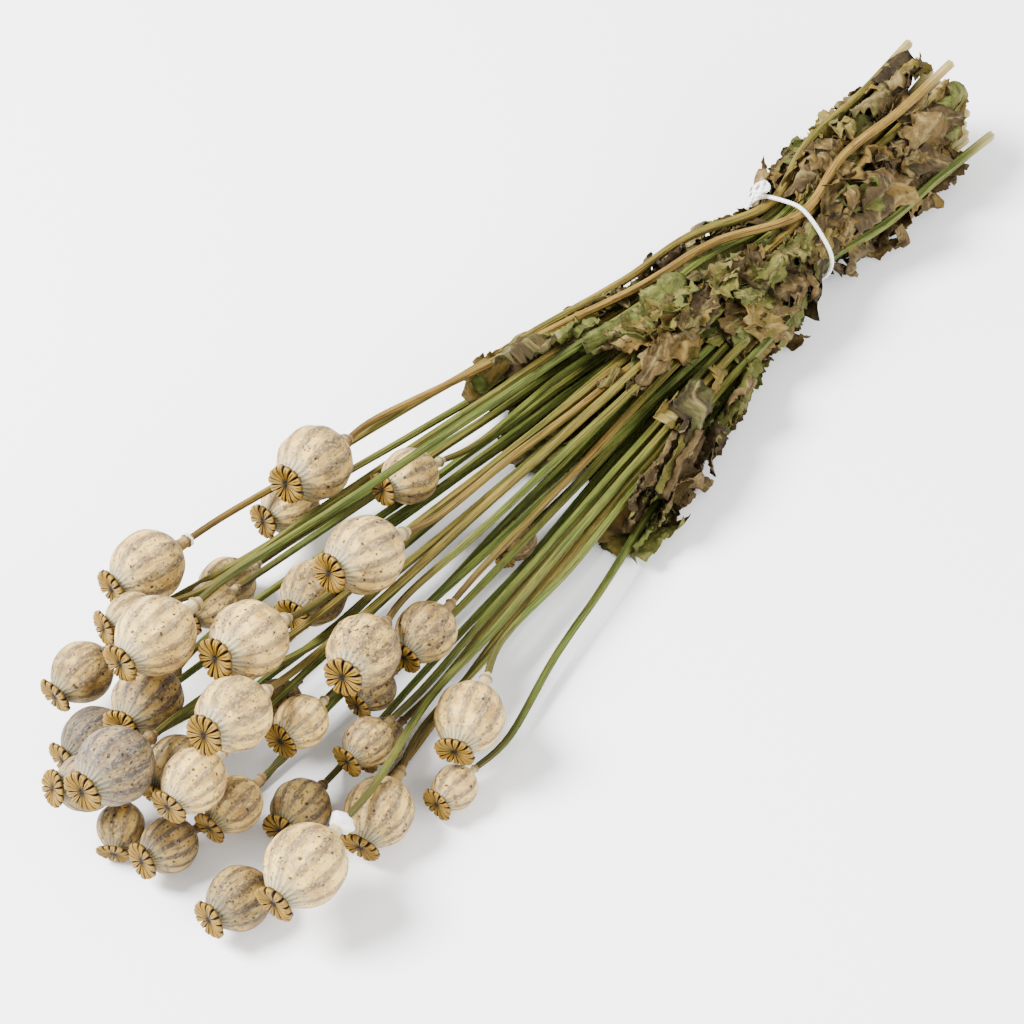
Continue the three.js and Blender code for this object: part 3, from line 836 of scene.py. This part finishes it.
class Wrap:
    """Distances from the bunch's middle line to the inner and outer side of the leaves round it."""

    STEP = 0.004  # from one row of the tables to the next
    TURNS = 90  # columns of the tables, one for each direction round the bunch

    def __init__(self, nodes):
        low, high = zip(*(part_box(n) for n in nodes))
        self.start = min(v.x for v in low)
        stop = max(v.x for v in high)
        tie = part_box("twine_loop")
        self.middle = (np.array(tie[0]) + np.array(tie[1])) / 2
        points, faces = [], []
        for node in nodes:
            p, f = merged(node)
            faces += [[v + len(points) for v in face] for face in f]
            points += [Vector(v) for v in p]
        tree = BVHTree.FromPolygons(points, faces)
        self.rows = int((stop - self.start) / self.STEP) + 2
        self.inner = np.full((self.rows, self.TURNS), np.nan)
        self.outer = np.full((self.rows, self.TURNS), np.nan)
        for i in range(self.rows):
            origin = Vector((self.start + i * self.STEP, self.middle[1], self.middle[2]))
            for j in range(self.TURNS):
                near, far = walls(tree, origin, TAU * j / self.TURNS)
                if near[0] is not None:
                    self.inner[i, j] = near[3]
                    self.outer[i, j] = OUTSIDE - far[3]
        self.held = ~np.isnan(self.inner)
        self.fill()

    def fill(self):
        """Carries the inner side over the gaps between leaves; the outer side dips to it there."""
        inner = np.where(self.held, self.inner, 0)
        known = self.held.copy()
        while not known.all():
            total, count = np.zeros((2, *inner.shape))
            for axis, step in ((0, 1), (0, -1), (1, 1), (1, -1)):
                k = np.roll(known, step, axis)
                v = np.roll(inner, step, axis)
                if axis == 0:  # the two ends of the bunch aren't neighbours
                    k[0 if step == 1 else -1] = False
                total += np.where(k, v, 0)
                count += k
            new = ~known & (count > 0)
            inner[new] = total[new] / count[new]
            known |= new
        self.inner = inner
        self.outer = np.where(self.held, self.outer, inner + BARE_DEPTH)

    def at(self, table, x, angle):
        """A table's value at places along and round the bunch."""
        i = np.clip((x - self.start) / self.STEP, 0, self.rows - 1.001)
        j = (angle / TAU * self.TURNS) % self.TURNS
        i0, j0 = i.astype(int), j.astype(int)
        u, v = i - i0, j - j0
        j1 = (j0 + 1) % self.TURNS
        low = table[i0, j0 % self.TURNS] * (1 - v) + table[i0, j1] * v
        high = table[i0 + 1, j0 % self.TURNS] * (1 - v) + table[i0 + 1, j1] * v
        return low * (1 - u) + high * u


def ripple(rng, p, q, size):
    """Creases over a sheet: sums of folded waves in random directions."""
    total = np.zeros_like(p)
    gain = 1.0
    for _ in range(3):
        for _ in range(2):
            a = rng.uniform(0, math.pi)
            wave = np.sin((p * math.cos(a) + q * math.sin(a)) * TAU / size + rng.uniform(0, TAU))
            total += gain * (1 - 2 * np.abs(wave) ** 0.8)
        size *= 0.55
        gain *= 0.45
    return total / 3


def lobe_sheet(rng, u, v, lobe):
    """A toothed, folded and creased lobe, before draping, as distances along, across and up."""
    length, width = lobe.length, lobe.width
    lobes = 0.8 + 0.2 * np.cos(u * TAU * rng.uniform(1.6, 3.0) + rng.uniform(0, 6))
    cuts = rng.uniform(5, 8)
    teeth = 1 + rng.uniform(0.2, 0.42) * (((u * cuts + rng.random()) % 1) - 0.6)
    shape = np.sin(math.pi * np.clip(0.05 + 0.93 * u, 0, 1) ** rng.uniform(0.7, 1.2)) ** 0.6
    shape = shape * lobes * teeth
    skew = rng.uniform(0.1, 0.45)
    p = (u - 0.5) * length + skew * np.abs(v) * width * shape
    q = v * width * shape * (1 + 0.25 * rng.uniform(-1, 1) * v)
    q = q + 0.12 * length * rng.uniform(-1, 1) * np.sin(math.pi * u)
    fold = rng.uniform(-0.55, 0.75)
    height = fold * np.abs(v) * width * 0.8 - 0.4 * fold * width
    height = height + rng.uniform(-0.4, 0.9) * np.abs(v) ** 3 * width * 0.6
    height = height + lobe.lift * smooth(0.45, 1.0, u) ** 1.3
    height = height + rng.uniform(0.0009, 0.0022) * ripple(rng, p, q, rng.uniform(0.009, 0.019))
    height = height + 0.0005 * np.sin(q * TAU / rng.uniform(0.0028, 0.0045) + 6 * u)
    return p, q, height


def drape(wrap, lobe, p, q, height):
    """Lays a sheet on the bunch, as places along it, round it and out from its middle line."""
    across = -p * math.sin(lobe.turn) + q * math.cos(lobe.turn)
    run = p * math.cos(lobe.turn) + q * math.sin(lobe.turn)
    xs = lobe.x + run
    near = wrap.at(wrap.inner, np.full(1, lobe.x), np.full(1, lobe.angle))[0]
    angles = lobe.angle + across / max(near + 0.004, 0.012)
    inner = wrap.at(wrap.inner, xs, angles)
    room = wrap.at(wrap.outer, xs, angles) - inner
    inner = np.clip(inner, near - 0.7 * lobe.width, near + 0.7 * lobe.width)
    outer = inner + room
    free = smooth(GRIPPED, FREE, np.abs(xs - wrap.middle[0]))
    distance = inner + LEAF_GAP + lobe.base * room + height * (0.12 + 0.88 * free)
    most = outer + 0.0002 + 0.006 * free
    over = most + 0.001 * free * np.tanh((distance - most) / 0.004)
    distance = np.where(distance > most, over, distance)
    return xs, angles, np.maximum(distance, inner - 0.001) - lobe.sink


def sheet_faces(rows, columns):
    """Faces of a closed sheet: its outer side, its inner side and the wall round its border."""
    count = rows * columns
    upper = grid_faces(rows, columns, False)
    under = grid_faces(rows, columns, False, count)[:, ::-1]
    last = columns - 1
    border = list(range(columns))
    border += [i * columns + last for i in range(1, rows)]
    border += [(rows - 1) * columns + j for j in range(last - 1, -1, -1)]
    border += [i * columns for i in range(rows - 2, 0, -1)]
    wall = [[a + count, b + count, b, a] for a, b in zip(border, border[1:] + border[:1])]
    return upper.tolist() + under.tolist() + wall


def add_lobe(piece, wrap, rng, lobe, kind):
    """One lobe of a crumpled leaf, with its veins and its edge painted on."""
    along, across = np.linspace(0, 1, LOBE_ROWS), np.linspace(-1, 1, LOBE_COLUMNS)
    u, v = np.meshgrid(along, across, indexing="ij")
    p, q, height = lobe_sheet(rng, u, v, lobe)
    xs, angles, distance = drape(wrap, lobe, p, q, height)
    vein = np.exp(-((v / 0.06) ** 2))
    ribs = np.abs(((u * 8 - np.abs(v) * 1.8) % 1) - 0.5) * 2
    vein = np.maximum(vein, 0.7 * smooth(0.8, 1.0, ribs) * smooth(1.0, 0.7, np.abs(v)))
    edge = np.minimum(1 - np.abs(v), np.minimum(u, 1 - u) * 2)
    marks = np.stack([vein, edge, np.zeros_like(edge)], -1)
    skin = np.stack([p, q, height], -1) + rng.uniform(-1, 1, 3)
    sides = []
    for thick in (LEAF_THICK, 0):
        y = wrap.middle[1] + (distance + thick) * np.cos(angles)
        z = np.maximum(wrap.middle[2] + (distance + thick) * np.sin(angles), FLOOR_GAP + thick)
        sides.append(np.stack([xs, y, z], -1))
    painted = [np.tile(values.reshape(-1, 3), (2, 1)) for values in (skin, marks)]
    points = np.concatenate(sides).reshape(-1, 3)
    piece.add(points, sheet_faces(LOBE_ROWS, LOBE_COLUMNS), 0, *painted, kind)


def leaf_hue(rng, x):
    """Leaves near the heads have stayed greener; those past the tie are mostly brown."""
    past = smooth(0.02, 0.24, x)
    stayed = rng.random() > 0.35 + 0.45 * past
    green = rng.uniform(0.45, 0.95) if stayed else rng.uniform(0.0, 0.3)
    warm = rng.uniform(0.2, 1.0) if rng.random() > 0.65 else rng.uniform(0.0, 0.2)
    return green, rng.choice([0.35, 0.7, 1.0]) * rng.uniform(0.8, 1.0), warm


def build_leaf(look, wrap, finish, number):
    """Scatters a leaf's lobes: ones under it, brighter ones over it and a few loose beside it; those
    under it and beside it are dimmed by half as painted shade.
    """
    node = f"leaf_{number:02d}"
    points, _ = merged(node)
    rng = np.random.default_rng(500 + number)
    away = points - wrap.middle
    angles = np.arctan2(away[:, 2], away[:, 1])
    mid = math.atan2(np.sin(angles).mean(), np.cos(angles).mean())
    spread = np.abs((angles - mid + math.pi) % TAU - math.pi).max()
    low, high = points[:, 0].min(), points[:, 0].max()
    reach = np.linalg.norm(away[:, 1:], axis=1).mean()
    lines = max(1, round(look.leaf_crowd * 2 * spread * reach / LOBES_APART))
    steps = max(3, round(look.leaf_crowd * (high - low) / LOBES_ALONG))
    towards_heads = high < wrap.middle[0] + 0.02
    layers = ["under", "over", "stray"]
    if towards_heads:
        layers.append("stray")
    piece = Piece()
    for layer, i, j in itertools.product(layers, range(steps), range(lines)):
        shift_x, shift_a = (0.9, 1.6) if layer == "stray" else (0.5, 0.6)
        x = low + (high - low) * (i + 0.5 + rng.uniform(-shift_x, shift_x)) / steps
        a = mid + spread * ((2 * j + 1) / lines - 1 + rng.uniform(-shift_a, shift_a) / lines)
        length = rng.uniform(*LOBE_LENGTH) * look.leaf_size
        x = min(max(x, low + 0.3 * length), high - 0.25 * length)
        turn = rng.normal(0, 0.55) + (math.pi if rng.random() > 0.5 else 0)
        base, lift, sink = rng.uniform(0.0, 0.3), rng.uniform(-0.002, 0.002), 0.0
        if layer == "over":
            base = rng.uniform(0.3, 0.95)
            lift = rng.uniform(-0.003, 0.015 if towards_heads else 0.011)
        if layer == "stray":
            side = rng.choice([-1, 1])
            a += side * (spread + rng.uniform(0.0, STRAY_OUT / reach if towards_heads else 0.3))
            x = max(x - (rng.uniform(0, STRAY_BACK) if towards_heads else 0), wrap.start + 0.01)
            sink = rng.uniform(*SUNK) if towards_heads else 0.001
        green, light, warm = leaf_hue(rng, x)
        width = length * rng.uniform(0.22, 0.4)
        # Painted shade: lobes under a leaf and loose among the stems get half the brightness.
        kind = (green, light * (1.0 if layer == "over" else 0.5), warm)
        add_lobe(piece, wrap, rng, Lobe(x, a, turn, length, width, base, lift, sink), kind)
    piece.build(node, [finish])


# ---------------- twine


LOOP_TURNS, KNOT_TURNS = 46.0, 16.0  # turns of the laid strands along the loop and along the knot
LAY = 0.85  # distance of a strand's middle from the twine's middle, in strand radii
KNOT_SUNK = 0.0024  # how far the knot's middle line starts below the middle of its solid


def twine_path():
    """The middle line of the pulled loop, from its solid."""
    points, faces = merged("twine_loop")
    tree = BVHTree.FromPolygons([Vector(p) for p in points], faces)
    origin = Vector((points.min(0) + points.max(0)) / 2)
    path = []
    for angle in np.linspace(0, TAU, 90, endpoint=False):
        near, far = walls(tree, origin, angle)
        if near[0] is None or far[0] is None:
            raise RuntimeError("the twine's solid has no wall at one angle")
        path.append(np.array((near[0] + far[0]) / 2))
    path = np.array(path)
    for _ in range(12):
        path = 0.5 * path + 0.25 * (np.roll(path, 1, 0) + np.roll(path, -1, 0))
    return path


# The knot's middle line in millimetres: along the bunch, round it and outwards.
KNOT = [
    (-12, -4, -2.6), (-9, -3, -1), (-6, -1, 1.2), (-2, 2.4, 2.2), (2.5, 3.2, 1.2), (5, 0.5, 0),
    (3.5, -3, 1), (-1, -3.4, 2.4), (-4.5, -0.4, 3), (-3.4, 3, 1.6), (0.5, 4.4, 0.2), (4.4, 2.2, 1.4),
    (4.8, -1.6, 3), (1, -3, 3.6), (-3.6, -2.2, 1.8), (-5.4, 1.6, 0.4), (-2.4, 3.4, 2.6), (2, 1.6, 4),
    (5.4, -0.6, 3), (8.4, -3, 0.8), (10.5, -6, -1.4),
]


def build_twine(look, finish):
    """The turn round the stems, and the knot on it with its two tails."""
    tree = twine_tree()
    path = twine_path()
    strand = look.twine_strand
    sizes = {"Strand Radius": strand, "Lay Radius": strand * LAY, "Material": finish}
    loop = path_curve("loop_path", path, [1.0] * len(path), True)
    low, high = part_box("twine_knot")
    centre = (np.array(low) + np.array(high)) / 2
    middle = (path.min(0) + path.max(0)) / 2
    outward = unit((centre - middle) * np.array([0, 1, 1]))
    around = np.cross([1.0, 0, 0], outward)
    axes = np.array([[1.0, 0, 0], around, outward]) * 0.001
    points = centre - outward * KNOT_SUNK + np.array(KNOT) @ axes
    knot = path_curve("knot_path", points, [1.0] * len(points))
    for name, curve, turns in (("loop", loop, LOOP_TURNS), ("knot", knot, KNOT_TURNS)):
        mesh = run_tree(tree, curve, {**sizes, "Turns": turns})
        mesh.name = f"tied_{name}"
        mesh.polygons.foreach_set("use_smooth", [True] * len(mesh.polygons))
        settle(mesh.name, mesh, f"twine_{name}")


# ---------------- stage


FLOOR_CORNERS = [(-6.0, -6.0, 0), (6.0, -6.0, 0), (6.0, 6.0, 0), (-6.0, 6.0, 0)]
LIGHTS = {  # (place, width, share of the window's power)
    "window": ((-1.1, 1.3, 1.9), 1.1, 1.0),
    "bounce": ((0.2, -1.9, 1.1), 1.8, 0.22),
}


def build_stage(look):
    """A wide floor, an even sky, two soft lights and the camera."""
    mesh = bpy.data.meshes.new("floor")
    mesh.from_pydata(FLOOR_CORNERS, [], [(0, 1, 2, 3)])
    mesh.materials.append(floor_finish(look))
    placed("floor", mesh)
    world = bpy.data.worlds.new("studio")
    world.use_nodes = True
    background = world.node_tree.nodes["Background"]
    background.inputs["Color"].default_value = (1.0, 1.0, 1.0, 1.0)
    background.inputs["Strength"].default_value = look.sky
    bpy.context.scene.world = world
    target = Vector(look.target)
    for name, (place, width, share) in LIGHTS.items():
        light = bpy.data.lights.new(name, "AREA")
        light.shape = "DISK"
        light.size = width
        light.energy = look.window * share
        lamp = placed(name, light)
        lamp.location = place
        lamp.rotation_euler = (target - Vector(place)).to_track_quat("-Z", "Y").to_euler()
    camera = placed("camera", bpy.data.cameras.new("camera"))
    turn, rise = look.camera_turn, look.camera_rise
    level = math.cos(rise)
    back = Vector((math.sin(turn) * level, -math.cos(turn) * level, math.sin(rise)))
    camera.location = target + back * look.camera_distance
    camera.rotation_euler = (-back).to_track_quat("-Z", "Y").to_euler()
    camera.data.lens = look.camera_lens
    camera.data.sensor_width = 36.0
    bpy.context.scene.camera = camera


# ---------------- add-on


def number_input(label, text, default, **kind):
    return bpy.props.FloatProperty(name=label, description=text, default=default, **kind)


def length_input(label, text, default):
    return number_input(label, text, default, min=0.0, unit="LENGTH", precision=5)


def share_input(label, text, default):
    return number_input(label, text, default, min=0.0, max=4.0, subtype="FACTOR")


def angle_input(label, text, degrees):
    return number_input(label, text, math.radians(degrees), subtype="ANGLE")


def vector_input(label, text, default, **kind):
    return bpy.props.FloatVectorProperty(name=label, description=text, default=default, **kind)


def colour_input(label, text, *screen):
    return vector_input(label, text, tint(*screen), size=3, min=0.0, max=1.0, subtype="COLOR")


class PoppyLook(bpy.types.PropertyGroup):
    """Sizes and colours of the bunch."""

    rib_depth: share_input("Rib Depth", "How far a capsule's ribs stand out, in capsule radii", 0.035)
    ridge_depth: share_input("Ridge Depth", "How deep the grooves of a stem are, in stem radii", 0.13)
    stem_step: length_input("Stem Step", "Length of one step along a stem", 0.006)
    leaf_size: share_input("Leaf Size", "Scale of a leaf's lobes", 0.88)
    leaf_crowd: share_input("Leaf Crowd", "How closely the lobes lie", 1.1)
    twine_strand: length_input("Twine Strand", "Radius of one strand of the twine", 0.0007)
    cream: colour_input("Cream", "Light skin of a capsule", 218, 178, 92)
    cream_shade: colour_input("Cream Shade", "Duller skin of a capsule", 156, 120, 58)
    cream_streak: colour_input("Cream Streak", "Fine streaks on a capsule", 214, 196, 146)
    lilac: colour_input("Lilac", "Waxy grey on a capsule's ribs", 86, 74, 66)
    slate: colour_input("Slate", "Skin of the greyest heads", 84, 82, 86)
    stain: colour_input("Stain", "Brown stains and dashes", 84, 62, 30)
    fleck: colour_input("Fleck", "Dark flecks on a capsule", 34, 20, 10)
    bloom: colour_input("Bloom", "Pale pleats by the crown", 184, 176, 144)
    # Painted shade between the pleats by the crown and just under the crown.
    bloom_painted_shade: colour_input("Bloom Shade", "Between the pleats by the crown", 80, 76, 58)
    collar: colour_input("Collar", "Collar under a capsule", 132, 108, 66)
    sap: colour_input("Sap", "White bead at a neck", 222, 220, 212)
    pale_collar: colour_input("Pale Collar", "Whitish collar of the palest heads", 166, 148, 108)
    dimmest: colour_input("Dimmest", "What the darkest head's skin is multiplied by", 84, 80, 82)
    crown: colour_input("Crown", "Ridges of a crown", 112, 84, 18)
    crown_rim: colour_input("Crown Rim", "Tips of a crown's rays", 152, 118, 36)
    crown_dark: colour_input("Crown Dark", "Slits of a crown", 24, 16, 5)
    stem_green: colour_input("Stem Green", "Green stem", 66, 82, 20)
    stem_ochre: colour_input("Stem Ochre", "Ochre stem", 108, 84, 30)
    # The next two colours are painted highlight on a stem's fibre ridges; the one after them is painted
    # shade in its grooves.
    stem_tan_ridges_and_highlight: colour_input("Stem Tan", "Ridges of an ochre stem", 142, 114, 54)
    stem_green_ridges_and_highlight: colour_input("Stem Light", "Ridges of a green stem", 116, 110, 50)
    stem_grooves_and_shade: colour_input("Stem Dark", "Stem grooves", 22, 20, 7)
    stem_brown: colour_input("Stem Brown", "Brown parts of a stem", 56, 38, 16)
    straw: colour_input("Straw", "Cut end of a stem", 176, 160, 104)
    leaf_brown: colour_input("Leaf Brown", "Brown leaf", 84, 66, 36)
    # Also painted shade, on the lobes under a leaf and among the stems.
    leaf_dark_and_shade: colour_input("Leaf Dark", "Darkest leaf", 27, 20, 10)
    leaf_green: colour_input("Leaf Green", "Olive leaf", 72, 78, 32)
    leaf_ochre: colour_input("Leaf Ochre", "Ochre leaf", 118, 94, 40)
    leaf_pale: colour_input("Leaf Pale", "Veins and worn leaf", 130, 116, 74)
    twine: colour_input("Twine", "White twine", 250, 249, 246)
    twine_shade: colour_input("Twine Shade", "Between the twine's fibres", 214, 212, 206)
    floor: colour_input("Floor", "Studio floor", 250, 250, 251)
    sky: share_input("Sky", "Strength of the even light", 1.45)
    window: number_input("Window", "Power of the soft main light", 300.0, min=0.0)
    target: vector_input(
        "Target", "Point the camera looks at", (-0.068, -0.0188, 0.03), subtype="TRANSLATION"
    )
    camera_turn: angle_input("Camera Turn", "Camera's azimuth", -51)
    camera_rise: angle_input("Camera Rise", "Camera's elevation", 50)
    camera_distance: length_input("Camera Distance", "From the target to the camera", 1.24)
    camera_lens: number_input("Lens", "Focal length", 86.8, unit="CAMERA")


class POPPY_OT_stalks(bpy.types.Operator):
    """Build every stalk: stem, collar, capsule and crown."""

    bl_idname = "poppies.stalks"
    bl_label = "Stalks"

    def execute(self, context):
        look = context.scene.poppy_look
        finishes = [capsule_finish(look), crown_finish(look), stem_finish(look)]
        tree = stem_tree()
        for number in range(1, len(HEADS) + 1):
            build_stalk(look, tree, finishes, number)
        return {"FINISHED"}


class POPPY_OT_leaves(bpy.types.Operator):
    """Build the crumpled leaves round the stems."""

    bl_idname = "poppies.leaves"
    bl_label = "Leaves"

    def execute(self, context):
        look = context.scene.poppy_look
        nodes = sorted(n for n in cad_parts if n.startswith("leaf_"))
        wrap = Wrap(nodes)
        finish = leaf_finish(look)
        for number in range(1, len(nodes) + 1):
            build_leaf(look, wrap, finish, number)
        return {"FINISHED"}


class POPPY_OT_twine(bpy.types.Operator):
    """Build the laid twine and its knot."""

    bl_idname = "poppies.twine"
    bl_label = "Twine"

    def execute(self, context):
        look = context.scene.poppy_look
        build_twine(look, twine_finish(look))
        return {"FINISHED"}


class POPPY_OT_stage(bpy.types.Operator):
    """Build the floor, the lights and the camera."""

    bl_idname = "poppies.stage"
    bl_label = "Stage"

    def execute(self, context):
        build_stage(context.scene.poppy_look)
        return {"FINISHED"}


OPERATORS = (POPPY_OT_stage, POPPY_OT_stalks, POPPY_OT_leaves, POPPY_OT_twine)


class POPPY_PT_panel(bpy.types.Panel):
    """Lists the bunch's pieces."""

    bl_label = "Poppies"
    bl_idname = "POPPY_PT_panel"
    bl_space_type = "VIEW_3D"
    bl_region_type = "UI"
    bl_category = "Poppies"

    def draw(self, context):
        for operator in OPERATORS:
            self.layout.operator(operator.bl_idname)
        for name in PoppyLook.__annotations__:
            self.layout.prop(context.scene.poppy_look, name)


CLASSES = (PoppyLook, *OPERATORS, POPPY_PT_panel)


def register():
    for cls in CLASSES:
        bpy.utils.register_class(cls)
    bpy.types.Scene.poppy_look = bpy.props.PointerProperty(type=PoppyLook)


def unregister():
    del bpy.types.Scene.poppy_look
    for cls in reversed(CLASSES):
        bpy.utils.unregister_class(cls)


def main():
    register()
    for operator in OPERATORS:
        group, name = operator.bl_idname.split(".")
        getattr(getattr(bpy.ops, group), name)()


if __name__ == "__main__":
    main()
